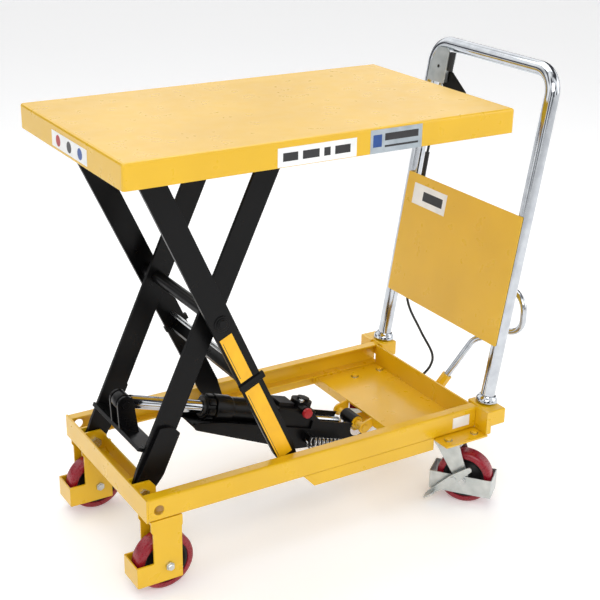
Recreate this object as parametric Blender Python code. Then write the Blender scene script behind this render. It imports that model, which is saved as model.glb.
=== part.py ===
"""Scissor lift table: base frame, casters, scissor arms, table, hydraulic unit, pedal and handle."""
import math

import bmesh
import bpy
from mathutils import Matrix, Vector
from mathutils.geometry import convex_hull_2d

# All sizes below are in millimetres. x runs from the load end of the table towards the handle,
# y from the middle towards the operator's right, z up from the floor.
mm = 0.001
gap = 0.3
originX = 510

tableLength = 855
tableWidth = 500
tableTop = 911
rimHeight = 50
tableSheet = 3

beamFace = 208.3
beamTop = 222
beamBottom = 172
beamWall = 4
beamInner = 184
frameFront = 41
trayTop = 171.5
wallX = 852

pivotX = 68
basePivotZ = 195
topPivotZ = 889
centreX = 228
centreZ = (basePivotZ + topPivotZ) / 2
armLength = 2 * math.hypot(centreX - pivotX, centreZ - basePivotZ)
armAngle = math.atan2(centreZ - basePivotZ, centreX - pivotX)
armHalfWidth = 25
armEndRadius = 18
footRadius = 21
innerArmY = (115.5, 123.5)
outerArmY = (164, 172)
centrePinRadius = 10
rollerPinRadius = 7
rollerRadius = 18

eyeX, eyeZ = 86, 337
shaftX, shaftZ = 655, 150
shaftRadius = 8
cylinderAngle = math.atan2(shaftZ - eyeZ, shaftX - eyeX)
eyeDistance = math.hypot(shaftX - eyeX, shaftZ - eyeZ)
rodRadius = 14
tubeRadius = 27
unitBoreRadius = 20
unitBoreShift = (-3.3, -9.1)
valveX = -163
valveZ = 21

wheelRadius = 62.5
frontAxleX = 86.7
frontWheelY = 176.4
swivelX, swivelY = 799, 184
trail = 42
heading = math.radians(51.4)

handleTube = 16
handleY = 202
footX, footZ = 883.5, 226
barX, barZ = 1004, 960
handleLean = math.atan2(barZ - footZ, barX - footX)
pedalY = -40

sides = {"left": -1, "right": 1}


def clear_scene():
    for old in list(bpy.data.objects):
        bpy.data.objects.remove(old, do_unlink=True)


def new_material(name, colour, roughness, metallic=0.0):
    material = bpy.data.materials.new(name)
    material.use_nodes = True
    shader = material.node_tree.nodes["Principled BSDF"]
    shader.inputs["Base Color"].default_value = (*colour, 1)
    shader.inputs["Roughness"].default_value = roughness
    shader.inputs["Metallic"].default_value = metallic
    return material


clear_scene()
parts = bpy.data.collections.new("scissor_lift_table")
cutters = bpy.data.collections.new("cutters")
for collection in (parts, cutters):
    bpy.context.scene.collection.children.link(collection)

yellow = new_material("yellow_paint", (0.80, 0.46, 0.03), 0.35)
black = new_material("black_paint", (0.012, 0.012, 0.013), 0.4)
chrome = new_material("chrome", (0.75, 0.76, 0.78), 0.12, 1.0)
zinc = new_material("zinc", (0.42, 0.44, 0.44), 0.4, 1.0)
polyurethane = new_material("polyurethane", (0.42, 0.015, 0.03), 0.3)
steel = new_material("steel", (0.5, 0.5, 0.5), 0.35, 1.0)
rubber = new_material("cable_sheath", (0.01, 0.01, 0.01), 0.5)

world = Matrix.Translation((-originX, 0, 0))


def side_frame(x, z, angle):
    """Local x runs at this angle above world X, local z square to it, local y stays world Y."""
    return world @ Matrix.Translation((x, 0, z)) @ Matrix.Rotation(-angle, 4, "Y")


def swivel_frame(sign):
    spot = Matrix.Translation((swivelX, sign * swivelY, 0))
    return world @ spot @ Matrix.Rotation(sign * heading, 4, "Z")


def joint(name, frame, point=(0, 0, 0), parent=None):
    empty = bpy.data.objects.new(name, None)
    empty.empty_display_size = 0.03
    parts.objects.link(empty)
    empty.location = mm * (frame @ Vector(point))
    if parent:
        bpy.context.view_layer.update()
        empty.parent = parent
        empty.matrix_parent_inverse = parent.matrix_world.inverted()
    return empty


def add_object(name, data, material, body=None):
    obj = bpy.data.objects.new(name, data)
    data.materials.append(material)
    parts.objects.link(obj)
    if body:
        bpy.context.view_layer.update()
        obj.parent = body
        obj.matrix_parent_inverse = body.matrix_world.inverted()
    return obj


def mesh_object(name, shape, frame, material, body=None):
    bmesh.ops.transform(shape, matrix=Matrix.Scale(mm, 4) @ frame, verts=shape.verts)
    bmesh.ops.recalc_face_normals(shape, faces=shape.faces)
    mesh = bpy.data.meshes.new(name)
    shape.to_mesh(mesh)
    shape.free()
    return add_object(name, mesh, material, body)


def box(name, low, high, material, body=None, frame=world, round_by=0.0, round_steps=2):
    shape = bmesh.new()
    bmesh.ops.create_cube(shape, size=1)
    size = [b - a for a, b in zip(low, high)]
    middle = [(a + b) / 2 for a, b in zip(low, high)]
    bmesh.ops.transform(
        shape,
        matrix=Matrix.Translation(middle) @ Matrix.Diagonal((*size, 1)),
        verts=shape.verts,
    )
    if round_by:
        bmesh.ops.bevel(
            shape, geom=shape.edges[:], offset=round_by, segments=round_steps, affect="EDGES", profile=0.5
        )
    return mesh_object(name, shape, frame, material, body)


def drum(name, start, end, radius, material, body=None, frame=world, segments=16):
    start, end = Vector(start), Vector(end)
    along = end - start
    shape = bmesh.new()
    bmesh.ops.create_cone(
        shape, cap_ends=True, segments=segments, radius1=radius, radius2=radius, depth=along.length
    )
    turn = along.to_track_quat("Z", "Y").to_matrix().to_4x4()
    bmesh.ops.transform(shape, matrix=Matrix.Translation((start + end) / 2) @ turn, verts=shape.verts)
    return mesh_object(name, shape, frame, material, body)


def turned(name, profile, material, body=None, frame=world, steps=16):
    """A closed profile of (radius, y) points, spun round the frame's local Y axis."""
    shape = bmesh.new()
    verts = [shape.verts.new((radius, y, 0)) for radius, y in profile]
    edges = [shape.edges.new((a, b)) for a, b in zip(verts, verts[1:] + verts[:1])]
    bmesh.ops.spin(
        shape, geom=verts + edges, cent=(0, 0, 0), axis=(0, 1, 0), angle=math.tau, steps=steps, use_merge=True
    )
    bmesh.ops.remove_doubles(shape, verts=shape.verts, dist=1e-4)
    return mesh_object(name, shape, frame, material, body)


def circle(x, z, radius, steps=16):
    turns = [math.tau * i / steps for i in range(steps)]
    return [(x + radius * math.cos(t), z + radius * math.sin(t)) for t in turns]


def hull(*circles, steps=16):
    """The outline that a belt round these (x, z, radius) circles would take."""
    points = [Vector(p) for x, z, radius in circles for p in circle(x, z, radius, steps)]
    return [tuple(points[i]) for i in convex_hull_2d(points)]


def rounded(points, radius, steps=3, closed=True):
    """The same path with each corner turned into an arc. Points may be 2D or 3D."""
    points = [Vector(p) for p in points]
    path = []
    for i, corner in enumerate(points):
        if not closed and i in (0, len(points) - 1):
            path.append(corner)
            continue
        back = (points[i - 1] - corner).normalized()
        ahead = (points[(i + 1) % len(points)] - corner).normalized()
        half = back.angle(ahead) / 2
        reach = radius / math.tan(half)
        centre = corner + (back + ahead).normalized() * (radius / math.sin(half))
        first = (corner + back * reach - centre).normalized()
        last = (corner + ahead * reach - centre).normalized()
        path += [centre + first.slerp(last, k / steps) * radius for k in range(steps + 1)]
    return [tuple(p) for p in path]


def plate(name, outline, low, high, material, body=None, frame=world, holes=()):
    """A flat sheet: the outline and holes lie in local x and z, the thickness runs from low to high in y."""
    curve = bpy.data.curves.new(name, "CURVE")
    curve.dimensions = "2D"
    curve.fill_mode = "BOTH"
    curve.extrude = (high - low) / 2
    for loop in (outline, *(circle(*hole) for hole in holes)):
        spline = curve.splines.new("POLY")
        spline.points.add(len(loop) - 1)
        spline.use_cyclic_u = True
        for point, spot in zip(spline.points, loop):
            point.co = (*spot, 0, 1)
    guide = bpy.data.objects.new(name + "_outline", curve)
    cutters.objects.link(guide)
    mesh = bpy.data.meshes.new_from_object(guide)
    bpy.data.objects.remove(guide)
    shape = bmesh.new()
    shape.from_mesh(mesh)
    bmesh.ops.remove_doubles(shape, verts=shape.verts, dist=1e-3)
    bpy.data.meshes.remove(mesh)
    stand = Matrix.Translation((0, (low + high) / 2, 0)) @ Matrix.Rotation(math.pi / 2, 4, "X")
    return mesh_object(name, shape, frame @ stand, material, body)


def pipe(name, path, radius, material, body=None, frame=world, roundness=3):
    curve = bpy.data.curves.new(name, "CURVE")
    curve.dimensions = "3D"
    curve.bevel_depth = radius * mm
    curve.bevel_resolution = roundness
    curve.use_fill_caps = True
    spline = curve.splines.new("POLY")
    spline.points.add(len(path) - 1)
    for point, spot in zip(spline.points, path):
        point.co = (*(mm * (frame @ Vector(spot))), 1)
    return add_object(name, curve, material, body)


def combine(target, tools, operation):
    for tool in tools:
        tool.hide_render = True
        tool.display_type = "WIRE"
        parts.objects.unlink(tool)
        cutters.objects.link(tool)
        modifier = target.modifiers.new(operation.lower(), "BOOLEAN")
        modifier.object = tool
        modifier.operation = operation
        modifier.solver = "EXACT"


def weld(target, *tools):
    combine(target, tools, "UNION")


def cut(target, *tools):
    combine(target, tools, "DIFFERENCE")


def outward(sign, low, high):
    """A y range given by distances from the middle, on one side."""
    return sorted((sign * low, sign * high))


def base_frame():
    for side, sign in sides.items():
        profile = [
            (beamInner, beamBottom),
            (beamFace - 5, beamBottom),
            *[
                (beamFace - 5 + 5 * math.cos(t), beamBottom + 5 + 5 * math.sin(t))
                for t in (-math.pi / 3, -math.pi / 6)
            ],
            (beamFace, beamBottom + 5),
            (beamFace, beamTop - 5),
            *[
                (beamFace - 5 + 5 * math.cos(t), beamTop - 5 + 5 * math.sin(t))
                for t in (math.pi / 6, math.pi / 3)
            ],
            (beamFace - 5, beamTop),
            (beamInner, beamTop),
            (beamInner, beamTop - beamWall),
            (beamFace - beamWall, beamTop - beamWall),
            (beamFace - beamWall, beamBottom + beamWall),
            (beamInner, beamBottom + beamWall),
        ]
        across = world @ Matrix.Rotation(-math.pi / 2, 4, "Z") @ Matrix.Diagonal((-sign, 1, 1, 1))
        beam = plate(
            f"side_beam_{side}", profile, frameFront + beamWall + gap, wallX + 4, yellow, frame=across
        )
        web = outward(sign, beamFace - beamWall, beamFace)
        skirt = plate(
            f"skirt_{side}", [(398, 174), (425, 145), (736, 145), (736, 174)], *web, yellow
        )
        hole = drum(
            f"access_hole_{side}",
            (pivotX, sign * 190, basePivotZ),
            (pivotX, sign * 230, basePivotZ),
            11,
            yellow,
        )
        weld(beam, skirt)
        cut(beam, hole)

    member = box(
        "front_cross_member",
        (frameFront, -beamFace, beamBottom),
        (frameFront + beamWall, beamFace, beamTop),
        yellow,
    )
    floor = box("member_floor", (frameFront + 1, -110, beamBottom), (89, 110, beamBottom + 4), yellow)
    rear = box("member_rear", (86, -110, beamBottom + 1), (90, 110, 207), yellow)
    ears = []
    for side, sign in sides.items():
        shape = rounded([(42, 173), (94, 173), (94, 206), (82, 221), (42, 221)], 4)
        inner = outward(sign, 108.5, 113)
        outer = outward(sign, 133.5, 138.5)
        hole = [(pivotX, basePivotZ, shaftRadius + gap)]
        ears.append(plate(f"inner_ear_{side}", shape, *inner, yellow, holes=hole))
        ears.append(plate(f"outer_ear_{side}", shape, *outer, yellow, holes=hole))
    weld(member, floor, rear, *ears)

    tray = box("rear_tray", (676, -203.9, trayTop - 4), (wallX, 203.9, trayTop), yellow)
    lip = box("tray_lip", (676, -203.9, 150), (680, 203.9, trayTop - 1), yellow)
    wallLow = (wallX - 4, -beamInner + gap, trayTop - 2)
    wall = box("rear_wall", wallLow, (wallX, beamInner - gap, beamTop), yellow)
    wings = [
        box(f"wing_{side}", (738, min(sign * 200, sign * 252), trayTop - 4),
            (wallX, max(sign * 200, sign * 252), trayTop), yellow)
        for side, sign in sides.items()
    ]
    lugs = [
        plate(
            f"shaft_lug_{side}",
            hull((shaftX, shaftZ, 14), (678, 168, 2), (678, 152, 2)),
            *outward(sign, 50, 55),
            yellow,
        )
        for side, sign in sides.items()
    ]
    shaft = drum("pump_shaft", (shaftX, -58, shaftZ), (shaftX, 58, shaftZ), shaftRadius, yellow)
    notch = box("lip_notch", (670, -48, 140), (690, 48, trayTop - 4.4), yellow)
    cut(lip, notch)
    weld(tray, lip, wall, *wings, *lugs, shaft)

    for side, sign in sides.items():
        y = outward(sign, 170, 250)
        corner = box(f"rear_corner_{side}", (856.4, y[0], 189), (901, y[1], 226), yellow, round_by=3)
        y = outward(sign, beamFace + 0.6, 249.6)
        gusset = box(f"gusset_{side}", (849, y[0], beamBottom), (862, y[1], 225.3), yellow)
        weld(corner, gusset)
        y = [sign * v for v in (104, 142)]
        drum(
            f"arm_pivot_bolt_{side}",
            (pivotX, y[0], basePivotZ),
            (pivotX, y[1], basePivotZ),
            shaftRadius,
            zinc,
            segments=20,
        )
        heads = [
            drum(f"bolt_head_{side}_{k}", (pivotX, sign * a, basePivotZ), (pivotX, sign * b, basePivotZ),
                 12, zinc, segments=6)
            for k, (a, b) in enumerate(((101, 108.1), (138.9, 144)))
        ]
        weld(bpy.data.objects[f"arm_pivot_bolt_{side}"], *heads)


def front_casters():
    for side, sign in sides.items():
        outline = rounded(
            [(50, 171.6), (50, 148), (54, 142), (54, 75), (17, 75), (17, 29), (116, 29), (116, 146),
             (118, 150), (118, 171.6)], 1.5, 2)
        outer = plate(f"front_bracket_{side}", outline, *outward(sign, 204.3, beamFace), yellow,
                      holes=[(frontAxleX, wheelRadius, 6.3)])
        inner = plate(f"bracket_cheek_{side}", outline, *outward(sign, 144.5, 148.5), yellow,
                      holes=[(frontAxleX, wheelRadius, 6.3)])
        y = outward(sign, 146, 206)
        top = box(f"bracket_top_{side}", (51, y[0], 163), (117, y[1], 168), yellow)
        y = outward(sign, 144.5, beamFace)
        guard = box(f"bracket_guard_{side}", (17, y[0], 30), (20, y[1], 74), yellow)
        weld(outer, inner, top, guard)

        axle = drum(f"front_axle_{side}", (frontAxleX, sign * 137, wheelRadius),
                    (frontAxleX, sign * 216, wheelRadius), 6, zinc, segments=16)
        heads = [
            drum(f"axle_head_{side}_{k}", (frontAxleX, sign * a, wheelRadius),
                 (frontAxleX, sign * b, wheelRadius), 9.5, zinc, segments=6)
            for k, (a, b) in enumerate(((139, 144.2), (beamFace + gap, 214)))
        ]
        weld(axle, *heads)
        hub = joint(f"front_wheel_joint_{side}", world, (frontAxleX, sign * frontWheelY, wheelRadius))
        spot = world @ Matrix.Translation((frontAxleX, sign * frontWheelY, wheelRadius))
        turned(f"front_wheel_{side}", wheel_profile(), polyurethane, hub, spot)


def wheel_profile():
    half = [(6.4, 22), (19, 22), (19, 16), (57, 19), (wheelRadius, 14)]
    return half + [(radius, -y) for radius, y in reversed(half)]


def rear_casters():
    for side, sign in sides.items():
        y = outward(sign, 134, 234)
        mount = box(f"caster_plate_{side}", (752, y[0], 160.5), (846, y[1], 167.1), zinc)
        race = drum(f"caster_race_{side}", (swivelX, sign * swivelY, 150), (swivelX, sign * swivelY, 162),
                    30, zinc)
        weld(mount, race)

        swivel = joint(f"swivel_joint_{side}", world, (swivelX, sign * swivelY, 150))
        frame = swivel_frame(sign)
        fork = drum(f"caster_fork_{side}", (0, 0, 136), (0, 0, 149.7), 33, zinc, swivel, frame)
        legs = [
            plate(f"leg_{side}_{k}", hull((-20, 143, 4), (26, 143, 4), (trail, wheelRadius, 15)),
                  *sorted((k * 24.5, k * 27.5)), zinc, frame=frame, holes=[(trail, wheelRadius, 6.3)])
            for k in (-1, 1)
        ]
        weld(fork, *legs)

        rail = rounded([(trail - 76, -31), (trail + 67, -31), (trail + 67, 31), (trail - 76, 31)], 3)
        inside = rounded([(trail - 74, -29), (trail + 65, -29), (trail + 65, 29), (trail - 74, 29)], 1.5)
        flat = frame @ Matrix.Rotation(-math.pi / 2, 4, "X")
        guard = plate(f"caster_guard_{side}", rail, -73, -28.5, zinc, swivel, flat)
        cut(guard,
            plate(f"guard_inside_{side}", inside, -80, -20, zinc, frame=flat),
            drum(f"guard_bore_{side}", (trail, -40, wheelRadius), (trail, 40, wheelRadius), 6.4, zinc,
                 frame=frame))

        axle = drum(f"caster_axle_{side}", (trail, -37, wheelRadius), (trail, 37, wheelRadius), 6, zinc,
                    swivel, frame, 16)
        weld(axle, *[
            drum(f"caster_head_{side}_{k}", (trail, k * 31.4, wheelRadius), (trail, k * 36, wheelRadius), 9.5,
                 zinc, frame=frame, segments=6)
            for k in (-1, 1)
        ])
        hub = joint(f"rear_wheel_joint_{side}", frame, (trail, 0, wheelRadius), swivel)
        turned(f"rear_wheel_{side}", wheel_profile(), polyurethane, hub,
               frame @ Matrix.Translation((trail, 0, wheelRadius)))

        # The foot brake rocks on its own pin, outside the guard on the outer side of each caster.
        pin = (trail - 18, wheelRadius + 4)
        brake = joint(f"brake_joint_{side}", frame, (pin[0], sign * 40, pin[1]), swivel)
        bar = hull((pin[0] - 54, pin[1] - 46, 5), pin + (11,), (pin[0] + 34, pin[1] + 30, 6))
        pedal = plate(f"brake_pedal_{side}", bar, *outward(sign, 38.5, 41.5), zinc, brake, frame)
        y = outward(sign, 39, 62)
        toe = box(f"brake_toe_{side}", (-12, y[0], -3), (14, y[1], 0), zinc,
                  frame=frame @ Matrix.Translation((pin[0] - 52, 0, pin[1] - 41))
                  @ Matrix.Rotation(-math.radians(35), 4, "Y"))
        y = outward(sign, 31.4, 44)
        stud = drum(f"brake_stud_{side}", (pin[0], y[0], pin[1]), (pin[0], y[1], pin[1]), 7, zinc,
                    frame=frame)
        weld(pedal, toe, stud)


def scissor():
    inner = joint("inner_arm_joint", world, (pivotX, 0, basePivotZ))
    outer = joint("outer_arm_joint", world, (centreX, 0, centreZ), inner)
    rising = side_frame(pivotX, basePivotZ, armAngle)
    falling = side_frame(pivotX, topPivotZ, -armAngle)
    middle = armLength / 2
    end = armLength

    for side, sign in sides.items():
        bar = hull((0, 0, footRadius), (40, 0, armHalfWidth), (end - 45, 0, armHalfWidth),
                   (end, 0, armEndRadius))
        arm = plate(f"inner_arm_{side}", bar, *outward(sign, *innerArmY), black, inner, rising,
                    [(0, 0, shaftRadius + gap), (middle, 0, centrePinRadius + gap)])
        foot = hull((0, 0, footRadius - 1), (45, -8, 24), (120, -8, 24), (134, 12, 4), (134, -28, 4))
        doubler = plate(f"doubler_{side}", foot, *outward(sign, innerArmY[1] - 1, 131), black, frame=rising,
                        holes=[(0, 0, shaftRadius + gap)])
        y = [sign * v for v in (119, 147)]
        pin = drum(f"top_roller_pin_{side}", (end, y[0], 0), (end, y[1], 0), rollerPinRadius, black,
                   frame=rising, segments=16)
        weld(arm, doubler, pin)
        roll = joint(f"top_roller_joint_{side}", rising, (end, sign * 136, 0), inner)
        turned(f"top_roller_{side}", roller_profile(125, 146, sign), steel, roll, rising @ shift(end))

        bar = hull((0, 0, armEndRadius), (45, 0, armHalfWidth), (end - 45, 0, armHalfWidth),
                   (end, 0, armEndRadius))
        arm = plate(f"outer_arm_{side}", bar, *outward(sign, *outerArmY), black, outer, falling,
                    [(0, 0, shaftRadius + gap), (middle, 0, centrePinRadius + gap)])
        strap = box(f"strap_{side}", (middle + 147, min(sign * 168, sign * 175), -27),
                    (middle + 161, max(sign * 168, sign * 175), 32), black, frame=falling)
        y = [sign * v for v in (168, 203)]
        pin = drum(f"base_roller_pin_{side}", (end, y[0], 0), (end, y[1], 0), rollerPinRadius, black,
                   frame=falling, segments=16)
        weld(arm, strap, pin)
        roll = joint(f"base_roller_joint_{side}", falling, (end, sign * 194, 0), outer)
        turned(f"base_roller_{side}", roller_profile(186, 202, sign), steel, roll, falling @ shift(end))

    steps = [(13.5, 115.2), (centrePinRadius, 115.2), (centrePinRadius, 124.3), (15, 124.3), (15, 163.6),
             (centrePinRadius, 163.6), (centrePinRadius, 172.4), (17, 172.4), (17, 177), (9, 178)]
    profile = [(radius, -y) for radius, y in reversed(steps)] + steps + [(0.6, 178), (0.6, -178)]
    turned("centre_shaft", profile, black, inner, rising @ shift(middle))

    bridge = box("cylinder_bracket", (77, -115.2, -25), (85, 115.2, 36), black, inner, rising)
    eye = rising.inverted() @ (world @ Vector((eyeX, 0, eyeZ)))
    ears = [
        plate(f"eye_ear_{k}", hull((83, 32, 3), (83, -8, 3), (eye.x, eye.z, 18)), *sorted((k * 16, k * 22)),
              black, frame=rising)
        for k in (-1, 1)
    ]
    pin = drum("eye_pin", (eye.x, -27, eye.z), (eye.x, 27, eye.z), shaftRadius, black, frame=rising)
    weld(bridge, *ears, pin)

    box("outer_cross_bar", (middle + 147, -163.6, -16), (middle + 159, 163.6, 16), black, outer, falling)
    drum("tie_rod", (middle + 124, -163.6, 3), (middle + 124, 163.6, 3), 5, zinc, outer, falling)
    return inner, outer


def shift(x):
    return Matrix.Translation((x, 0, 0))


def roller_profile(low, high, sign):
    a, b = outward(sign, low, high)
    bore = rollerPinRadius + gap
    return [(bore, a), (rollerRadius - 1.5, a), (rollerRadius, a + 1.5), (rollerRadius, b - 1.5),
            (rollerRadius - 1.5, b), (bore, b)]


def table(outer):
    body = joint("table_joint", world, (pivotX, 0, topPivotZ), outer)
    half = tableWidth / 2
    low = tableTop - rimHeight
    top = box("table_top", (0, -half, low - 10), (tableLength, half, tableTop), yellow, body, round_by=5)
    hollow = box("table_hollow", (tableSheet, tableSheet - half, low - 20),
                 (tableLength - tableSheet, half - tableSheet, tableTop - tableSheet), yellow, round_by=3,
                 round_steps=1)
    trim = box("table_trim", (-10, -half - 10, low - 20), (tableLength + 10, half + 10, low), yellow)
    cut(top, hollow, trim)
    under = tableTop - tableSheet - gap
    for side, sign in sides.items():
        y = outward(sign, 150, 153)
        rail = box(f"table_rail_{side}", (365, y[0], 867.7), (848, y[1], under), yellow, body)
        y = outward(sign, 126, 152)
        weld(rail, box(f"rail_flange_{side}", (365, y[0], 867.7), (848, y[1], 870.7), yellow))
        ear = hull((pivotX, topPivotZ, 17), (pivotX - 26, under - 2, 2), (pivotX + 26, under - 2, 2))
        hinge = plate(f"table_hinge_{side}", ear, *outward(sign, 176, 182), yellow, body)
        y = [sign * v for v in (160, 184)]
        weld(hinge, drum(f"hinge_pin_{side}", (pivotX, y[0], topPivotZ), (pivotX, y[1], topPivotZ),
                         shaftRadius, steel, segments=20))


def hydraulics(inner):
    """Local x runs from the rear shaft away from the rod eye, so the unit lies at negative x."""
    along = side_frame(shaftX, shaftZ, cylinderAngle)
    rod_joint = joint("rod_joint", world, (eyeX, 0, eyeZ), inner)
    unit = joint("pump_joint", along, (0, 0, 0), rod_joint)
    eye = -eyeDistance
    rod = drum("piston_rod", (eye + 12, 0, 0), (-295, 0, 0), rodRadius, chrome, rod_joint, along)
    ring = plate("rod_eye", circle(eye, 0, 18, 24), -12, 12, chrome, frame=along)
    bore = drum("rod_eye_bore", (eye, -20, 0), (eye, 20, 0), shaftRadius + gap, chrome, frame=along)
    weld(rod, ring)
    cut(rod, bore)

    # These two are spun round the cylinder's axis, so their frame has its y axis along the cylinder.
    lengthwise = along @ Matrix.Rotation(math.pi / 2, 4, "Z")
    clear = rodRadius + 0.8
    barrel = [(clear, 229.6), (tubeRadius, 229.6), (tubeRadius, 340), (30, 341), (30, 383), (clear, 383)]
    turned("cylinder_tube", barrel, black, unit, lengthwise)
    nut = [(clear, 383.5), (28, 383.5), (30, 386), (30, 402), (27, 407), (clear, 407)]
    turned("gland_nut", nut, black, unit, lengthwise)

    body = box("pump_body", (-229, -30, -29), (-128, 30, 22), black, unit, along, 3, 1)
    block = box("filler_block", (-226, -20, 15), (-186, 22, 32), black, frame=along)
    turret = drum("valve_turret", (-155, 0, 10), (-155, 0, 36), 24, black, frame=along, segments=24)
    crown = drum("turret_crown", (-152, 0, 30), (-152, 0, 42), 14, black, frame=along)
    boss = drum("valve_boss", (valveX, -37, valveZ), (valveX, -18, valveZ), 11, black, frame=along)
    socket = drum("plunger_bore", (-162, 0, -8), (-110, 0, -8), 9.4, black, frame=along)
    chamber = drum("rod_chamber", (-240, 0, 0), (-167, 0, 0), clear, black, frame=along)
    weld(body, block, turret, crown, boss)
    cut(body, socket, chamber)
    press = joint("plunger_joint", along, (-60, 0, -8), unit)
    drum("pump_plunger", (-150, 0, -8), (-38, 0, -8), 9, chrome, press, along)

    # The cheeks end in a saddle that is open at the top and pushes against the rear shaft.
    spot = (unitBoreShift[0], unitBoreShift[1], unitBoreRadius)
    cheek = hull((-424, -33, 8), (-300, -46, 8), (-165, -62, 8), (spot[0], spot[1], 29), (-60, -30, 22))
    cradle = plate("pump_cradle", cheek, -36, -32, black, unit, along, [spot])
    other = plate("cradle_cheek", cheek, 32, 36, black, frame=along, holes=[spot])
    trough = box("cradle_floor", (-426, -33, -40), (-62, 33, -36), black, frame=along)
    anchor = box("spring_anchor", (-149, -62, -47), (-144.5, -34, -27), black, frame=along)
    weld(cradle, other, trough, anchor)
    cut(
        cradle,
        box("front_trim", (-450, -50, -19), (-134, 50, 60), black, frame=along),
        box("rear_trim", (-135, -50, 1), (60, 50, 60), black, frame=along),
    )

    spring = lengthwise @ Matrix.Translation((-58, 0, -43))
    turned("return_spring", [(12, 42), (15.5, 42), (15.5, 142), (12, 142)], steel, unit, spring, 20)

    valve = joint("valve_joint", along, (valveX, -40, valveZ), unit)
    arm = hull((valveX, valveZ, 9), (valveX + 40, valveZ - 19, 5))
    plate("valve_lever", arm, -41, -37.4, zinc, valve, along)


def pedal():
    """The lever rocks on the pump shaft, passes under the tray and carries the tube behind the rear wall."""
    foot = joint("pedal_joint", world, (shaftX, 0, shaftZ))
    hub = drum("pedal_lever", (shaftX, -25, shaftZ), (shaftX, 25, shaftZ), 15, yellow, foot)
    bar = box("lever_bar", (650, -20, 128), (872, 20, 146), yellow)
    cross = box("lever_cross", (862, pedalY - 12, 128), (882, 19, 146), yellow)
    post = box("lever_post", (864, pedalY - 11, 130), (880, pedalY + 9, 205), yellow)
    start, bend = Vector((884, pedalY, 206)), Vector((944, -70, 314))
    along = (bend - start).normalized()
    socket = drum("pedal_socket", start - along * 10, start + along * 22, 13, yellow, segments=8)
    mouth = drum("socket_bore", start + along * 4, start + along * 40, 8.4, yellow)
    weld(hub, bar, cross, post, socket)
    cut(hub,
        drum("lever_bore", (shaftX, -40, shaftZ), (shaftX, 40, shaftZ), shaftRadius + gap, yellow),
        mouth)
    path = rounded([start + along * 6, bend, (990, -128, 347), (1000, -172, 360), (1000, -172, 448),
                    (1000, 52, 448), (1000, 52, 362), (1000, -84, 362)], 40, 5, False)
    pipe("foot_pedal", path, 7.5, chrome, foot)


def handle():
    upright = side_frame(footX, footZ, handleLean)
    along = Vector((math.cos(handleLean), 0, math.sin(handleLean)))
    base = Vector((footX, 0, footZ)) + along * 5
    corners = [(base.x, -handleY, base.z), (barX, -handleY, barZ), (barX, handleY, barZ),
               (base.x, handleY, base.z)]
    pipe("handle_tube", rounded(corners, 50, 6, False), handleTube, chrome, roundness=3)

    for side, sign in sides.items():
        spin = upright @ Matrix.Translation((0, sign * handleY, 0)) @ Matrix.Rotation(-math.pi / 2, 4, "Z")
        inside = handleTube + 0.5
        collar = [(inside, -2), (24, -2), (25, 8), (23, 13), (19, 17), (inside, 17)]
        ring = turned(f"handle_collar_{side}", collar, chrome, frame=spin)
        y = outward(sign, handleY - 40, handleY + 40)
        cut(ring, box(f"collar_trim_{side}", (footX - 50, y[0], 200), (footX + 50, y[1], 226.4), chrome))

    panel = [(136, -198), (433, -198), (433, 212), (136, 212)]
    plate("back_panel", rounded(panel, 3), handleTube + 0.4, handleTube + 2.4, yellow,
          frame=upright @ Matrix.Rotation(math.pi / 2, 4, "X"))


def release():
    """The hand lever hangs on a sheet bracket at the top of the right upright, and pulls the cable."""
    upper = Vector((math.cos(handleLean), 0, math.sin(handleLean)))
    heightZ = 907
    spotX = footX + (heightZ - footZ) / math.tan(handleLean)
    axes = Matrix(((0, -upper.z, upper.x), (1, 0, 0), (0, upper.x, upper.z))).to_4x4()
    frame = world @ Matrix.Translation((spotX, 0, heightZ)) @ axes
    face = handleTube + 0.4
    sheet = rounded([(196, -36), (196, 4), (176, 44), (137, 44), (133, -36)], 4)
    bracket = plate("release_bracket", sheet, face, face + 2.5, zinc, frame=frame)
    lip = box("bracket_lip", (133.4, 9.2, -33), (136.5, face + 1.9, 36), zinc, frame=frame)
    side = box("bracket_side", (133.8, -4, 9), (136.1, face - 1, 37), zinc, frame=frame)
    fold = box("bracket_fold", (133.9, face + 0.4, -30), (150, face + 2.1, 42), zinc, frame=frame)
    pin = drum("lever_pin", (168, -4, -4), (168, face + 1, -4), 4, zinc, frame=frame, segments=16)
    weld(bracket, lip, side, fold, pin)
    turn = joint("release_joint", frame, (168, 4, -4))
    plate("release_lever", hull((168, -4, 9), (128, -12, 5), (72, -46, 5), (126, -60, 6)), 2, 7, black, turn,
          frame, [(168, -4, 4 + gap, 16)])


def cable():
    knots = [(988, 158, 838), (980, 162, 790), (963, 168, 705), (942, 168, 570), (922, 162, 440),
             (906, 141, 348), (911, 90, 285), (912, 40, 243), (893, 19, 222), (874, 26, 196),
             (862, 40, 170), (836, 58, 158), (760, 62, 158), (700, 62, 158)]
    points = [Vector(k) for k in knots]
    route = []
    for i in range(len(points) - 1):
        before = points[max(i - 1, 0)]
        after = points[min(i + 2, len(points) - 1)]
        a, b = points[i], points[i + 1]
        for step in range(3):
            t = step / 3
            route.append(tuple(0.5 * (2 * a + (b - before) * t + (2 * before - 5 * a + 4 * b - after) * t ** 2
                                      + (3 * a - before - 3 * b + after) * t ** 3)))
    pipe("release_cable", route + [tuple(points[-1])], 3, rubber, roundness=2)


base_frame()
front_casters()
rear_casters()
innerBody, outerBody = scissor()
table(outerBody)
hydraulics(innerBody)
pedal()
handle()
release()
cable()
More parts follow.
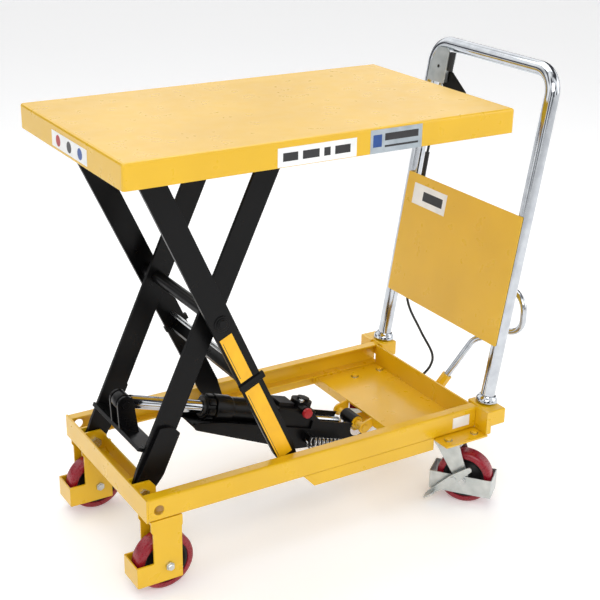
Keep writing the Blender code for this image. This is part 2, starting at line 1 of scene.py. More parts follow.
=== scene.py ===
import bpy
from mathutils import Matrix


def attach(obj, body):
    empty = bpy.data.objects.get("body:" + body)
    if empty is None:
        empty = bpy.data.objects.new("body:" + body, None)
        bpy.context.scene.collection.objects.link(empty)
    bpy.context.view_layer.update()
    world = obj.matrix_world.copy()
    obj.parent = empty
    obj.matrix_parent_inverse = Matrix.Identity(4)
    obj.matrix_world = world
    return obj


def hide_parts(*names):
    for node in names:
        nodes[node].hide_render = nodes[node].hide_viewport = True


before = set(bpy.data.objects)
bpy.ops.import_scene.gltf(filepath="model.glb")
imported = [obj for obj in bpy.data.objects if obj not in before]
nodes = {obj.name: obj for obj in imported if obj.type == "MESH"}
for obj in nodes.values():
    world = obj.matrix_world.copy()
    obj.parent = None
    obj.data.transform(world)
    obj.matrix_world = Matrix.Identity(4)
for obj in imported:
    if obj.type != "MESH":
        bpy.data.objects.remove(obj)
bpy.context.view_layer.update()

import math

import bpy
from mathutils import Matrix, Vector
from mathutils.geometry import convex_hull_2d

mm = 0.001
originX = 510  # world x = 0 lies this far behind the load end, in mm
sides = {"left": -1, "right": 1}


def toLinear(code):
    channels = [int(code[i:i + 2], 16) / 255 for i in (1, 3, 5)]
    return tuple(c / 12.92 if c <= 0.04045 else ((c + 0.055) / 1.055) ** 2.4 for c in channels)


def at(x, y, z):
    return Vector(((x - originX) * mm, y * mm, z * mm))


world = Matrix.Translation(at(0, 0, 0)) @ Matrix.Scale(mm, 4)  # takes mm from the load end to world metres


def sideFrame(x, z, angle):
    return world @ Matrix.Translation((x, 0, z)) @ Matrix.Rotation(-angle, 4, "Y")


def deselect():
    for obj in list(bpy.context.selected_objects):
        obj.select_set(False)


def activate(obj):
    deselect()
    obj.select_set(True)
    bpy.context.view_layer.objects.active = obj


def finishPiece(obj, name, material, body, place=world, smooth=40):
    obj.name = name
    obj.data.name = name
    obj.data.transform(place @ obj.matrix_world)
    obj.matrix_world = Matrix.Identity(4)
    obj.data.materials.clear()
    obj.data.materials.append(material)
    activate(obj)
    bpy.ops.object.shade_smooth_by_angle(angle=math.radians(smooth))
    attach(obj, body)
    return obj


def applyAll(obj):
    activate(obj)
    for modifier in list(obj.modifiers):
        bpy.ops.object.modifier_apply(modifier=modifier.name)


def roundedBox(name, low, high, material, body, place=world, edge=1.0, segments=3):
    deselect()
    middle = [(a + b) / 2 for a, b in zip(low, high)]
    bpy.ops.mesh.primitive_cube_add(size=1, location=middle, scale=[b - a for a, b in zip(low, high)])
    obj = bpy.context.object
    bpy.ops.object.transform_apply(location=True, rotation=True, scale=True)
    bevel = obj.modifiers.new("bevel", "BEVEL")
    bevel.width = edge
    bevel.segments = segments
    bevel.limit_method = "NONE"
    applyAll(obj)
    return finishPiece(obj, name, material, body, place)


def turnedPiece(name, profile, material, body, place, vertices=48, closed=False, smooth=40):
    deselect()
    radius, height = profile[0]
    bpy.ops.mesh.primitive_circle_add(vertices=vertices, radius=radius, fill_type="NOTHING" if closed else "NGON",
                                      location=(0, 0, height))
    obj = bpy.context.object
    bpy.ops.object.transform_apply(location=True, rotation=False, scale=False)
    bpy.ops.object.mode_set(mode="EDIT")
    bpy.ops.mesh.select_all(action="SELECT")
    steps = profile[1:] + (profile[:1] if closed else [])
    for nextRadius, nextHeight in steps:
        if closed:
            bpy.ops.mesh.extrude_edges_move(TRANSFORM_OT_translate={"value": (0, 0, nextHeight - height)})
        else:
            bpy.ops.mesh.extrude_region_move(TRANSFORM_OT_translate={"value": (0, 0, nextHeight - height)})
        scale = nextRadius / radius
        bpy.ops.transform.resize(value=(scale, scale, 1), center_override=(0, 0, nextHeight))
        radius, height = nextRadius, nextHeight
    bpy.ops.mesh.select_all(action="SELECT")
    bpy.ops.mesh.remove_doubles(threshold=1e-4)
    bpy.ops.mesh.normals_make_consistent(inside=False)
    bpy.ops.object.mode_set(mode="OBJECT")
    return finishPiece(obj, name, material, body, place, smooth)


def newCurve(name, flat):
    deselect()
    bpy.ops.object.add(type="CURVE")
    obj = bpy.context.object
    obj.name = name
    obj.data.dimensions = "2D" if flat else "3D"
    return obj, obj.data


def addSpline(curve, points, cyclic):
    spline = curve.splines.new("POLY")
    spline.points.add(len(points) - 1)
    spline.use_cyclic_u = cyclic
    for point, spot in zip(spline.points, points):
        point.co = (*spot, 1) if len(spot) == 3 else (*spot, 0, 1)


def toMesh(obj):
    activate(obj)
    bpy.ops.object.convert(target="MESH")
    return bpy.context.object


def platePiece(name, outline, holes, low, high, material, body, place, edge=0.6, smooth=40):
    obj, curve = newCurve(name, True)
    curve.fill_mode = "BOTH"
    curve.extrude = (high - low) / 2 - edge
    curve.bevel_depth = edge
    curve.bevel_resolution = 1
    curve.offset = -edge
    addSpline(curve, outline, True)
    for hole in holes:
        addSpline(curve, circlePoints(*hole), True)
    obj = toMesh(obj)
    stand = Matrix.Translation((0, (low + high) / 2, 0)) @ Matrix.Rotation(math.pi / 2, 4, "X")
    obj.data.transform(stand)
    activate(obj)
    bpy.ops.object.mode_set(mode="EDIT")
    bpy.ops.mesh.select_all(action="SELECT")
    bpy.ops.mesh.remove_doubles(threshold=1e-3)
    bpy.ops.mesh.normals_make_consistent(inside=False)
    bpy.ops.object.mode_set(mode="OBJECT")
    return finishPiece(obj, name, material, body, place, smooth)


def tubePiece(name, path, radius, material, body, place=world, sides=8, caps=True):
    obj, curve = newCurve(name, False)
    curve.bevel_depth = radius
    curve.bevel_resolution = sides
    curve.use_fill_caps = caps
    addSpline(curve, path, False)
    obj = toMesh(obj)
    return finishPiece(obj, name, material, body, place, 50)


def circlePoints(x, z, radius, steps=40):
    turns = [math.tau * i / steps for i in range(steps)]
    return [(x + radius * math.cos(t), z + radius * math.sin(t)) for t in turns]


def beltOutline(*circles):
    points = [Vector(p) for x, z, radius in circles for p in circlePoints(x, z, radius)]
    return [tuple(points[i]) for i in convex_hull_2d(points)]


def roundCorners(points, radius, steps=6, closed=True):
    points = [Vector(p) for p in points]
    path = []
    for i, corner in enumerate(points):
        if not closed and i in (0, len(points) - 1):
            path.append(corner)
            continue
        back = (points[i - 1] - corner).normalized()
        ahead = (points[(i + 1) % len(points)] - corner).normalized()
        half = back.angle(ahead) / 2
        centre = corner + (back + ahead).normalized() * (radius / math.sin(half))
        first = (corner + back * radius / math.tan(half) - centre).normalized()
        last = (corner + ahead * radius / math.tan(half) - centre).normalized()
        path += [centre + first.slerp(last, k / steps) * radius for k in range(steps + 1)]
    return [tuple(p) for p in path]


def smoothRoute(knots, perSpan):
    points = [Vector(k) for k in knots]
    route = []
    for i in range(len(points) - 1):
        before, a = points[max(i - 1, 0)], points[i]
        b, after = points[i + 1], points[min(i + 2, len(points) - 1)]
        for step in range(perSpan):
            t = step / perSpan
            route.append(tuple(0.5 * (2 * a + (b - before) * t + (2 * before - 5 * a + 4 * b - after) * t ** 2
                                      + (3 * a - before - 3 * b + after) * t ** 3)))
    return route + [tuple(points[-1])]


def addNode(material, kind, inputs=(), **settings):
    node = material.node_tree.nodes.new(kind)
    for key, value in settings.items():
        setattr(node, key, value)
    for key, value in dict(inputs).items():
        if isinstance(value, bpy.types.NodeSocket):
            material.node_tree.links.new(value, node.inputs[key])
        else:
            node.inputs[key].default_value = value
    return node


def startMaterial(name, look):
    material = bpy.data.materials.new(name)
    material.use_nodes = True
    shader = material.node_tree.nodes["Principled BSDF"]
    for key, value in look.items():
        shader.inputs[key].default_value = value
    place = addNode(material, "ShaderNodeTexCoord").outputs["Object"]
    return material, shader, place


def noise(material, place, size, detail=3.0, stretch=(1, 1, 1)):
    scaled = addNode(material, "ShaderNodeMapping", {"Vector": place, "Scale": stretch}).outputs["Vector"]
    return addNode(material, "ShaderNodeTexNoise", {"Vector": scaled, "Scale": 1 / (size * mm), "Detail": detail}
                   ).outputs["Fac"]


def ramp(material, factor, low, high, lowValue=0.0, highValue=1.0):
    return addNode(material, "ShaderNodeMapRange", {"Value": factor, "From Min": low, "From Max": high,
                                                    "To Min": lowValue, "To Max": highValue}).outputs["Result"]


def mixColour(material, factor, first, second):
    node = material.node_tree.nodes.new("ShaderNodeMix")
    node.data_type = "RGBA"
    for socket, value in ((0, factor), (6, first), (7, second)):
        if isinstance(value, bpy.types.NodeSocket):
            material.node_tree.links.new(value, node.inputs[socket])
        else:
            node.inputs[socket].default_value = value if socket == 0 else (*value[:3], 1)
    return node.outputs[2]


def link(material, output, shader, name):
    material.node_tree.links.new(output, shader.inputs[name])


def addBump(material, shader, height, distance, strength=1.0, soften=0.0):
    bump = addNode(material, "ShaderNodeBump", {"Height": height, "Distance": distance * mm, "Strength": strength})
    if soften:
        edge = addNode(material, "ShaderNodeBevel", {"Radius": soften * mm}, samples=4)
        material.node_tree.links.new(edge.outputs["Normal"], bump.inputs["Normal"])
    link(material, bump.outputs["Normal"], shader, "Normal")


def paint(name, colour, shade, roughness, coat, soften, peel, shine=0.5):
    material, shader, place = startMaterial(name, {"IOR": 1.5, "Coat Weight": coat, "Coat Roughness": 0.16,
                                                   "Specular IOR Level": shine})
    cloud = noise(material, place, 160, 2)
    base = mixColour(material, ramp(material, cloud, 0.35, 0.7), toLinear(colour), toLinear(shade))
    scuffs = noise(material, place, 9, 8, (1, 1, 0.35))
    worn = ramp(material, scuffs, 0.66, 0.86, 0.0, 0.05)
    link(material, mixColour(material, worn, base, [0.55 * c for c in toLinear(shade)]), shader, "Base Color")
    link(material, ramp(material, noise(material, place, 34, 4), 0.3, 0.7, roughness - 0.04, roughness + 0.06),
         shader, "Roughness")
    addBump(material, shader, noise(material, place, peel, 2), 0.035, 0.6, soften)
    return material


def metal(name, colour, shade, roughness, grain, soften=0.0):
    material, shader, place = startMaterial(name, {"Metallic": 1.0, "IOR": 2.5})
    link(material, mixColour(material, ramp(material, noise(material, place, 22, 4), 0.3, 0.7), toLinear(colour),
                             toLinear(shade)), shader, "Base Color")
    fine = noise(material, place, grain, 4)
    link(material, ramp(material, fine, 0.3, 0.7, roughness * 0.75, roughness * 1.3), shader, "Roughness")
    addBump(material, shader, fine, 0.02, 0.35, soften)
    return material


def plastic(name, colour, shade, roughness, grain):
    material, shader, place = startMaterial(name, {"IOR": 1.5})
    link(material, mixColour(material, ramp(material, noise(material, place, 30, 3), 0.3, 0.7), toLinear(colour),
                             toLinear(shade)), shader, "Base Color")
    fine = noise(material, place, grain, 3)
    link(material, ramp(material, fine, 0.3, 0.7, roughness - 0.05, roughness + 0.08), shader, "Roughness")
    addBump(material, shader, fine, 0.04, 0.5)
    return material


# Sizes at the ends are in mm: softened edge and orange peel for paint, grain for metal and plastic.
looks = {
    # powder-coated steel: even colour, slight orange peel, a soft gloss
    "yellow": paint("yellowPaint", "#E4B50E", "#DCAD0A", 0.30, 0.35, 1.2, 2.6),
    # thin black paint on rolled bar: dark, with only a little shine
    "black": paint("blackPaint", "#09090A", "#060607", 0.30, 0.02, 1.0, 2.2, 0.16),
    # polished plating mirrors its surroundings, passivated plating is greyer and scatters more
    "chrome": metal("chromePlate", "#CDD1D5", "#B9BDC3", 0.09, 3.0),
    "zinc": metal("zincPlate", "#D2D6D5", "#BCC2C1", 0.38, 1.6, 0.8),
    "bright": metal("brightZinc", "#D3D6D6", "#B9BDBE", 0.24, 1.4, 0.4),
    # machined or drawn steel with a fine grain
    "steel": metal("bareSteel", "#A9ABAD", "#8F9294", 0.3, 1.2),
    "spring": metal("springSteel", "#C9CBCD", "#A3A6A9", 0.22, 0.9),
    # cast polyurethane: smooth, saturated, slightly waxy
    "tread": plastic("redTread", "#960F24", "#820C1F", 0.28, 5.0),
    # moulded nylon and PVC: fine satin grain
    "hub": plastic("blackHub", "#121213", "#0B0B0C", 0.45, 1.0),
    "rubber": plastic("blackSheath", "#121213", "#0A0A0B", 0.45, 0.8),
    "redCap": plastic("redPlastic", "#C0202A", "#9A1620", 0.35, 0.8),
    # printed film: flat ink, except the brushed silver one
    "labelWhite": plastic("whiteLabel", "#F2F2F0", "#E4E6E6", 0.32, 2.0),
    "labelSilver": metal("silverLabel", "#B9C2C8", "#A5AFB6", 0.42, 1.0),
    "labelBlue": plastic("blueInk", "#1D4E9C", "#17417F", 0.32, 2.0),
    "labelDark": plastic("darkInk", "#2A2A2C", "#1E1E20", 0.35, 2.0),
    "labelYellow": plastic("yellowLabel", "#F2B90E", "#E8AC0A", 0.33, 2.0),
    # painted shade: a black material for discs that stand in for the dark inside of a hole
    "bore": plastic("paintedHoleShade", "#0B0B0C", "#060607", 0.6, 1.0),
}
cadLooks = {
    "yellow": ["side_beam", "front_cross_member", "rear_tray", "rear_corner", "front_bracket", "back_panel",
               "table_top", "table_rail", "table_hinge", "pedal_lever"],
    "black": ["inner_arm", "outer_arm", "outer_cross_bar", "centre_shaft", "cylinder_bracket", "cylinder_tube",
              "gland_nut", "pump_body", "pump_cradle", "release_lever", "valve_lever"],
    "chrome": ["handle_tube", "handle_collar", "foot_pedal", "piston_rod", "pump_plunger"],
    "zinc": ["caster_plate", "caster_fork", "caster_guard", "brake_pedal", "release_bracket"],
    "bright": ["arm_pivot_bolt", "front_axle", "caster_axle", "tie_rod"],
    "steel": ["base_roller", "top_roller", "return_spring"],
    "tread": ["front_wheel", "rear_wheel"],
    "rubber": ["release_cable"],
}
for look, names in cadLooks.items():
    for name in names:
        for node in (name, name + "_left", name + "_right"):
            if node not in nodes:
                continue
            obj = nodes[node]
            obj.data.materials.clear()
            obj.data.materials.append(looks[look])
            activate(obj)
            bpy.ops.object.shade_smooth_by_angle(angle=math.radians(32))
print("materials on the frame done")

wheel = {"radius": 62.5, "treadInner": 47, "treadHalf": 19, "hubHalf": 22, "bore": 7, "frontX": 86.7,
         "frontY": 176.4, "swivelX": 799, "swivelY": 184, "trail": 42, "heading": 51.4}


def casterFrame(sign):
    spot = Matrix.Translation((wheel["swivelX"], sign * wheel["swivelY"], 0))
    return world @ spot @ Matrix.Rotation(sign * math.radians(wheel["heading"]), 4, "Z")


def buildWheel(name, place, body, node):
    across = place @ Matrix.Rotation(math.pi / 2, 4, "X")
    r, inner, half = wheel["radius"], wheel["treadInner"], wheel["treadHalf"]
    tread = [(inner, -half + 2), (inner + 1, -half), (r - 9, -half), (r - 3.5, -half + 2), (r - 1, -half + 5),
             (r, -half + 9), (r, half - 9), (r - 1, half - 5), (r - 3.5, half - 2), (r - 9, half),
             (inner + 1, half), (inner, half - 2)]
    tyre = turnedPiece(name + "_tread", tread, looks["tread"], body, across, 72, True, 50)
    hub = wheel["hubHalf"]
    core = [(wheel["bore"], -hub), (17, -hub), (18, -hub + 1), (19.5, -10), (24, -8), (38, -8), (42, -15),
            (inner - 0.2, -17), (inner - 0.2, 17), (42, 15), (38, 8), (24, 8), (19.5, 10), (18, hub - 1),
            (17, hub), (wheel["bore"], hub)]
    turnedPiece(name + "_hub", core, looks["hub"], body, across, 72, True, 40)
    for face in (-1, 1):
        cup = [(wheel["bore"] + 1, face * (hub - 1)), (15, face * (hub - 1)), (15, face * (hub + 0.6)),
               (wheel["bore"] + 3, face * (hub + 1)), (wheel["bore"] + 1, face * (hub + 0.2))]
        turnedPiece(f"{name}_seal_{'near' if face < 0 else 'far'}", cup, looks["steel"], body, across, 36, True)
    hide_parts(node)


for side, sign in sides.items():
    spot = world @ Matrix.Translation((wheel["frontX"], sign * wheel["frontY"], wheel["radius"]))
    buildWheel(f"front_tyre_{side}", spot, f"front_wheel_{side}", f"front_wheel_{side}")
    spot = casterFrame(sign) @ Matrix.Translation((wheel["trail"], 0, wheel["radius"]))
    buildWheel(f"rear_tyre_{side}", spot, f"rear_wheel_{side}", f"rear_wheel_{side}")
print("wheels done")


handle = {"tube": 16, "y": 202, "footX": 883.5, "footZ": 226, "barX": 1004, "barZ": 960, "bend": 50}
lean = math.atan2(handle["barZ"] - handle["footZ"], handle["barX"] - handle["footX"])
upright = sideFrame(handle["footX"], handle["footZ"], lean)  # local x runs up the upright, local z to its front
rise = Vector((math.cos(lean), 0, math.sin(lean)))


def buildHandle():
    start = Vector((handle["footX"], 0, handle["footZ"])) + rise * 5
    y = handle["y"]
    corners = [(start.x, -y, start.z), (handle["barX"], -y, handle["barZ"]), (handle["barX"], y, handle["barZ"]),
               (start.x, y, start.z)]
    tube = tubePiece("handle_chrome", roundCorners(corners, handle["bend"], 16, False), handle["tube"],
                     looks["chrome"], "base", sides=14)
    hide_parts("handle_tube")
    for side, sign in sides.items():
        spot = upright @ Matrix.Translation((0, sign * y, 0)) @ Matrix.Rotation(math.pi / 2, 4, "Y")
        ring = [(16.6, 0.6), (24, 0.6), (25, 2.5), (24.5, 8), (22.5, 12), (20, 14), (19, 16.5), (16.6, 17)]
        collar = turnedPiece(f"foot_collar_{side}", ring, looks["chrome"], "base", spot, 48, True, 30)
        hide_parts(f"handle_collar_{side}")


buildHandle()
print("handle done")


pedal = {"tube": 7.5, "bend": 40, "loopX": 1000, "low": 362, "high": 448, "left": -172, "right": 52,
         "gapY": -84, "start": (884, -40, 206), "knee": (944, -70, 314), "turn": (990, -128, 347)}


def buildPedal():
    start, knee = Vector(pedal["start"]), Vector(pedal["knee"])
    along = (knee - start).normalized()
    x, low, high, left, right = [pedal[key] for key in ("loopX", "low", "high", "left", "right")]
    bottomLeft = (x, left, low - 2)
    path = [start + along * 6, knee, pedal["turn"], bottomLeft, (x, left, high), (x, right, high),
            (x, right, low), (x, pedal["gapY"], low)]
    tube = tubePiece("foot_loop", roundCorners(path, pedal["bend"], 12, False), pedal["tube"], looks["chrome"],
                     "pedal", sides=10)
    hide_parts("foot_pedal")
    place = world @ Matrix.Translation(start) @ along.to_track_quat("Z", "Y").to_matrix().to_4x4()
    screw = place @ Matrix.Translation((0, 0, 8)) @ Matrix.Rotation(math.pi / 2, 4, "Y")
    head = [(5, 12.4), (5.6, 13), (5.6, 15), (4.6, 16)]
    turnedPiece("pedal_screw", head, looks["bright"], "pedal", screw, 6)


buildPedal()
print("pedal done")


unit = {"eyeX": 86, "eyeZ": 337, "shaftX": 655, "shaftZ": 150, "rod": 14, "gap": 0.9, "lugs": 8,
        "valve": (-163, -40, 21), "screw": (-166, -15, 0)}
spring = {"turns": 9, "steps": 24, "start": -43, "length": 98, "y": -58, "z": -43, "radius": 13.4, "wire": 2}
cylinderAngle = math.atan2(unit["shaftZ"] - unit["eyeZ"], unit["shaftX"] - unit["eyeX"])
eyeAt = -math.hypot(unit["shaftX"] - unit["eyeX"], unit["shaftZ"] - unit["eyeZ"])
along = sideFrame(unit["shaftX"], unit["shaftZ"], cylinderAngle)
lengthwise = along @ Matrix.Rotation(math.pi / 2, 4, "Y")  # local z runs along the cylinder, away from the eye


def buildCylinder():
    rod = [(13, eyeAt + 14), (unit["rod"], eyeAt + 18), (unit["rod"], -295), (12, -293)]
    turnedPiece("rod_chrome", rod, looks["chrome"], "rod", lengthwise, 48)
    eye = platePiece("rod_eye", circlePoints(eyeAt, 0, 18, 48), [(eyeAt, 0, 8.4)], -12, 12, looks["black"], "rod",
                     along, 1.2)
    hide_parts("piston_rod")
    clear = unit["rod"] + unit["gap"]
    barrel = [(clear, -383), (29, -383), (30, -381.5), (30, -345), (28, -341), (27, -338), (27, -229.8),
              (clear, -229.8)]
    tube = turnedPiece("cylinder_barrel", barrel, looks["black"], "pump_unit", lengthwise, 64, True, 30)
    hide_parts("cylinder_tube")
    nut = [(clear, -407), (24, -407), (26, -405), (26, -402), (25, -400), (25, -386), (clear, -383.6)]
    ring = turnedPiece("gland_ring", nut, looks["black"], "pump_unit", lengthwise, 48, True, 30)
    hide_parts("gland_nut")
    wiper = [(clear, -410.5), (20, -410.5), (21, -408.5), (21, -406), (clear, -406)]
    turnedPiece("rod_wiper", wiper, looks["rubber"], "pump_unit", lengthwise, 40, True)
    for i in range(unit["lugs"]):  # the castellations of the gland nut
        turn = along @ Matrix.Rotation(math.tau * i / unit["lugs"], 4, "X")
        roundedBox(f"gland_lug_{i}", (-403, -7, 23), (-387, 7, 29.5), looks["black"], "pump_unit", turn, 1.2)


def buildSpring():
    count = spring["turns"] * spring["steps"]
    coil = []
    for i in range(count + 1):
        a = math.tau * i / spring["steps"]
        coil.append((spring["start"] - spring["length"] * i / count, spring["y"] + spring["radius"] * math.cos(a),
                     spring["z"] + spring["radius"] * math.sin(a)))
    wire = tubePiece("spring_coil", coil, spring["wire"], looks["spring"], "pump_unit", along, 3)
    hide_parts("return_spring")
    hook = [(-141, -44.6, -43), (-146, -46, -41), (-150, -50, -38), (-151, -56, -40), (-148, -60, -44)]
    tubePiece("spring_hook", smoothRoute(hook, 6), 1.8, looks["spring"], "pump_unit", along, 3)


def buildPumpFittings():
    acrossUnit = Matrix.Rotation(math.pi / 2, 4, "X")
    cap = [(9, 1.6), (11.4, 1.6), (12, 3), (11.6, 8.5), (10.4, 10.5), (3, 11)]
    spot = along @ Matrix.Translation(unit["valve"]) @ acrossUnit
    turnedPiece("release_cap", cap, looks["redCap"], "valve", spot, 10, False, 20)
    screw = [(6, 35), (6.4, 36.6), (6.4, 40), (5.4, 41.2), (2.4, 41.2), (2, 39.5)]
    spot = along @ Matrix.Translation(unit["screw"])
    turnedPiece("turret_screw", screw, looks["bright"], "pump_unit", spot, 6)
    sleeve = [(15.2, -24), (16, -23.4), (16, 23.4), (15.2, 24)]
    turnedPiece("hub_sleeve", sleeve, looks["black"], "pedal", along @ acrossUnit, 48, True)


buildCylinder()
buildSpring()
buildPumpFittings()
print("hydraulics done")


pivots = {"x": 68, "baseZ": 195, "topZ": 889, "centreX": 228, "centreZ": 542, "rollerX": 388}
armAngle = math.atan2(pivots["centreZ"] - pivots["baseZ"], pivots["centreX"] - pivots["x"])
rising = sideFrame(pivots["x"], pivots["baseZ"], armAngle)
falling = sideFrame(pivots["x"], pivots["topZ"], -armAngle)
halfArm = math.hypot(pivots["centreX"] - pivots["x"], pivots["centreZ"] - pivots["baseZ"])


def boltHead(name, x, y, z, size, material, body, sign):
    spot = world @ Matrix.Translation((x, y, z)) @ Matrix.Rotation(-sign * math.pi / 2, 4, "X")
    head = [(size * 0.9, 0), (size, 0.5), (size, size * 0.55), (size * 0.86, size * 0.68),
            (size * 0.3, size * 0.7)]
    turnedPiece(name, head, material, body, spot, 6)


rollers = {"bore": 7.4, "radius": 18, "base": {"y": 194, "half": 8}, "top": {"y": 135.5, "half": 10.5}}


def buildRollers():
    bore, radius = rollers["bore"], rollers["radius"]
    for side, sign in sides.items():
        for kind in ("base", "top"):
            half, body = rollers[kind]["half"], f"{kind}_roller_{side}"
            ring = [(bore, -half), (13, -half), (14, -half + 0.8), (17, -half + 0.4), (radius, -half + 1.6),
                    (radius, half - 1.6), (17, half - 0.4), (14, half - 0.8), (13, half), (bore, half)]
            middle = (pivots["rollerX"], sign * rollers[kind]["y"], pivots[kind + "Z"])
            spot = world @ Matrix.Translation(middle) @ Matrix.Rotation(math.pi / 2, 4, "X")
            roll = turnedPiece(f"{kind}_roll_{side}", ring, looks["steel"], body, spot, 48, True)
            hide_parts(body)


def buildCentre():
    middle = rising @ Matrix.Translation((halfArm, 0, 0))
    steps = [(0.8, -178), (8, -178), (9, -177.2), (9, -174.6), (16, -174.2), (17, -173), (17, -172.3),
             (10, -172.2), (10, -163.5), (15, -163.3), (15, -124.4), (10, -124.2), (10, -115.1), (13.5, -114.9)]
    profile = steps + [(r, -y) for r, y in reversed(steps)]
    spot = middle @ Matrix.Rotation(-math.pi / 2, 4, "X")
    shaft = turnedPiece("centre_pin", profile, looks["black"], "inner_arms", spot, 48, False, 30)
    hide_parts("centre_shaft")
    for side, sign in sides.items():
        spot = middle @ Matrix.Translation((0, sign * 175.6, 0)) @ Matrix.Rotation(math.pi / 2, 4, "X")
        clip = [(9.2, -0.7), (12.4, -0.7), (12.4, 0.7), (9.2, 0.7)]
        turnedPiece(f"centre_clip_{side}", clip, looks["black"], "inner_arms", spot, 36, True)


bolts = {"axleY": 214, "axleSize": 7.5, "plateTop": 171.8,
         "plate": [(761, 145), (836, 147), (761, 227), (832, 229)]}


def buildBolts():
    head = [(7, 0), (7.6, 0.4), (7.6, 4.4), (6.6, 5.4), (2.4, 5.5)]
    washer = [(5, 0), (9.5, 0), (9.5, 1.2), (5, 1.2)]
    for side, sign in sides.items():
        boltHead(f"front_axle_bolt_{side}", wheel["frontX"], sign * bolts["axleY"], wheel["radius"],
                 bolts["axleSize"], looks["bright"], "base", sign)
        for i, (x, y) in enumerate(bolts["plate"]):
            spot = world @ Matrix.Translation((x, sign * y, bolts["plateTop"]))
            turnedPiece(f"caster_bolt_{side}_{i}", head, looks["yellow"], "base", spot, 6)
            turnedPiece(f"caster_washer_{side}_{i}", washer, looks["bright"], "base", spot, 28, True)


buildRollers()
buildCentre()
buildBolts()
print("pivots done")


labels = {
    "deckFace": -250.35, "film": 0.3, "blocks": [(314, 32), (356, 36), (402, 14), (426, 34)],
    "endDiscs": [(-62, "labelBlue"), (-10, "labelDark"), (44, "redCap")], "endZ": 881.5,
    "arm": [(412, 524, -20, 9), (548, 740, -21, 13.5)],
}


def label(name, low, high, material, body, place=world):
    return roundedBox(name, low, high, material, body, place, 0.05, 1)


def deckInk(name, x, z, ink):
    face = labels["deckFace"]
    label(name, (x[0], face - 0.12, z[0]), (x[1], face + 0.1, z[1]), looks[ink], "table")


def buildDeckLabels():
    face, film = labels["deckFace"], labels["film"]
    label("deck_label_white", (303, face, 862), (474, face + film, 898), looks["labelWhite"], "table")
    for i, (x, w) in enumerate(labels["blocks"]):
        deckInk(f"deck_label_block_{i}", (x, x + w), (872, 888), "labelDark")
    label("deck_label_silver", (505, face, 861), (625, face + film, 907), looks["labelSilver"], "table")
    deckInk("deck_label_square", (511, 531), (873, 897), "labelBlue")
    deckInk("deck_label_bar", (538, 616), (884, 898), "labelDark")
    deckInk("deck_label_line", (538, 616), (871, 875), "labelDark")
    label("end_label", (-0.35, -95, 866), (-0.05, 76, 897), looks["labelWhite"], "table")
    for i, (y, ink) in enumerate(labels["endDiscs"]):
        disc = [(0.5, 0.3), (11, 0.3), (11, 0.55), (0.5, 0.6)]
        spot = world @ Matrix.Translation((0, y, labels["endZ"])) @ Matrix.Rotation(-math.pi / 2, 4, "Y")
        turnedPiece(f"end_label_disc_{i}", disc, looks[ink], "table", spot, 32)


def buildFrameLabels():
    label("panel_label", (362, 43, 18.5), (412, 168, 18.8), looks["labelWhite"], "base", upright)
    label("panel_label_bar", (376, 56, 18.7), (398, 130, 18.95), looks["labelDark"], "base", upright)
    label("beam_label", (786, -208.9, 184), (832, -208.6, 210), looks["labelWhite"], "base")
    for i, (low, high, under, over) in enumerate(labels["arm"]):
        label(f"arm_label_{i}", (low, -172.75, under), (high, -172.4, over), looks["labelYellow"],
              "outer_arms", falling)
        label(f"arm_label_line_{i}", (low + 10, -172.85, under + 3), (high - 10, -172.7, under + 4.2),
              looks["labelDark"], "outer_arms", falling)


buildDeckLabels()
buildFrameLabels()
print("labels done")


cable = {"radius": 3, "bootRadius": 5.4, "perSpan": 8, "boot": (2, 4),
         "knots": [(988, 158, 838), (980, 162, 790), (963, 168, 705), (942, 168, 570), (922, 162, 440),
                   (906, 141, 348), (911, 90, 285), (912, 40, 243), (893, 19, 222), (874, 26, 196),
                   (862, 40, 170), (836, 58, 158), (760, 62, 158), (700, 62, 158)]}
release = {"z": 907, "adjuster": (160, 4, 0), "rivet": (162.5, 0, 0)}


def buildCable():
    knots = cable["knots"]
    sheath = tubePiece("release_sheath", smoothRoute(knots, cable["perSpan"]), cable["radius"],
                       looks["rubber"], "base", sides=4)
    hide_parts("release_cable")
    first, last = cable["boot"]
    tubePiece("cable_boot", smoothRoute(knots[first:last], cable["perSpan"]), cable["bootRadius"],
              looks["rubber"], "base", sides=6)


def buildRelease():
    x = handle["footX"] + (release["z"] - handle["footZ"]) / math.tan(lean)
    axes = Matrix(((0, -rise.z, rise.x), (1, 0, 0), (0, rise.x, rise.z))).to_4x4()
    grip = world @ Matrix.Translation((x, 0, release["z"])) @ axes  # local x to the right, local y to the front
    adjuster = [(3.2, -70), (5, -69), (5, -56), (7, -55), (7, -48), (5, -47), (4.4, -38), (3, -37)]
    spot = grip @ Matrix.Translation(release["adjuster"])
    turnedPiece("cable_adjuster", adjuster, looks["bright"], "base", spot, 24)
    # a black box filling the channel inside the bracket's side fold
    roundedBox("bracket_fold_black_box", (120.5, 8, -6), (132.8, 16, 38), looks["hub"], "base", grip, 1.6)
    # painted shade: a black disc with a thin rim, standing in for the dark inside of the bracket's rivet hole
    hole = [(3, 19), (3.8, 19.2), (3.8, 19.6), (3, 19.7)]
    spot = grip @ Matrix.Translation(release["rivet"]) @ Matrix.Rotation(-math.pi / 2, 4, "X")
    turnedPiece("bracket_rivet_hole_shade", hole, looks["bore"], "base", spot, 24)


buildCable()
buildRelease()
print("cable done")


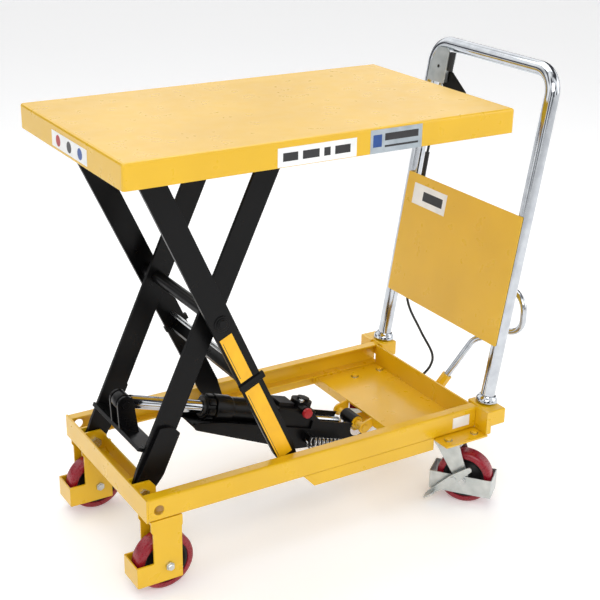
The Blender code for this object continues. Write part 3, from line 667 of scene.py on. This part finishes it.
def buildFloor():
    deselect()
    bpy.ops.mesh.primitive_plane_add(size=60, location=(0, 0, 0))
    floor = bpy.context.object
    floor.name = "floor"
    glow = {"Roughness": 0.9, "Emission Strength": 0.2, "Emission Color": (1, 1, 1, 1)}
    material, shader, place = startMaterial("paleFloor", glow)
    patches = noise(material, place, 900, 2)
    link(material, mixColour(material, patches, (0.95, 0.95, 0.95), (0.97, 0.97, 0.97)), shader, "Base Color")
    floor.data.materials.append(material)


def buildSky():
    sky = bpy.data.worlds.new("studio")
    sky.use_nodes = True
    backdrop = sky.node_tree.nodes["Background"]
    heading = addNode(sky, "ShaderNodeTexCoord").outputs["Generated"]
    patches = addNode(sky, "ShaderNodeTexNoise", {"Vector": heading, "Scale": 1.9, "Detail": 1.0}).outputs["Fac"]
    # dark and bright patches, so that the chrome shows streaks
    glow = mixColour(sky, ramp(sky, patches, 0.43, 0.57), (0.08, 0.08, 0.09), (1.3, 1.3, 1.3))
    direct = addNode(sky, "ShaderNodeLightPath").outputs["Is Camera Ray"]
    link(sky, mixColour(sky, direct, glow, (1, 1, 1)), backdrop, "Color")
    bpy.context.scene.world = sky


def areaLight(name, place, target, size, power):
    light = bpy.data.lights.new(name, "AREA")
    light.shape = "RECTANGLE"
    light.size, light.size_y = size
    light.energy = power
    obj = bpy.data.objects.new(name, light)
    bpy.context.scene.collection.objects.link(obj)
    obj.location = place
    obj.rotation_euler = (Vector(target) - Vector(place)).to_track_quat("-Z", "Y").to_euler()


view = {"place": (-798.5, -2115.5, 1488.1), "turn": (67.871, -0.864, -31.193), "lens": 74.487,
        "shift": (0.00648, -0.00158)}


def buildCamera():
    camera = bpy.data.objects.new("camera", bpy.data.cameras.new("camera"))
    bpy.context.scene.collection.objects.link(camera)
    camera.location = at(*view["place"])
    camera.rotation_euler = [math.radians(a) for a in view["turn"]]
    camera.data.lens = view["lens"]
    camera.data.sensor_width = 36
    camera.data.shift_x, camera.data.shift_y = view["shift"]
    bpy.context.scene.camera = camera


buildFloor()
buildSky()
areaLight("key", (-1.3, -3.1, 2.8), (0, 0, 0.5), (2.4, 1.8), 46)
areaLight("fill", (2.6, -1.6, 1.6), (0, 0, 0.5), (2.0, 2.0), 10)
areaLight("top", (0.3, 0.8, 3.4), (0, 0, 0.5), (3.0, 2.4), 44)
buildCamera()
bpy.context.scene.view_settings.view_transform = "Standard"
deselect()
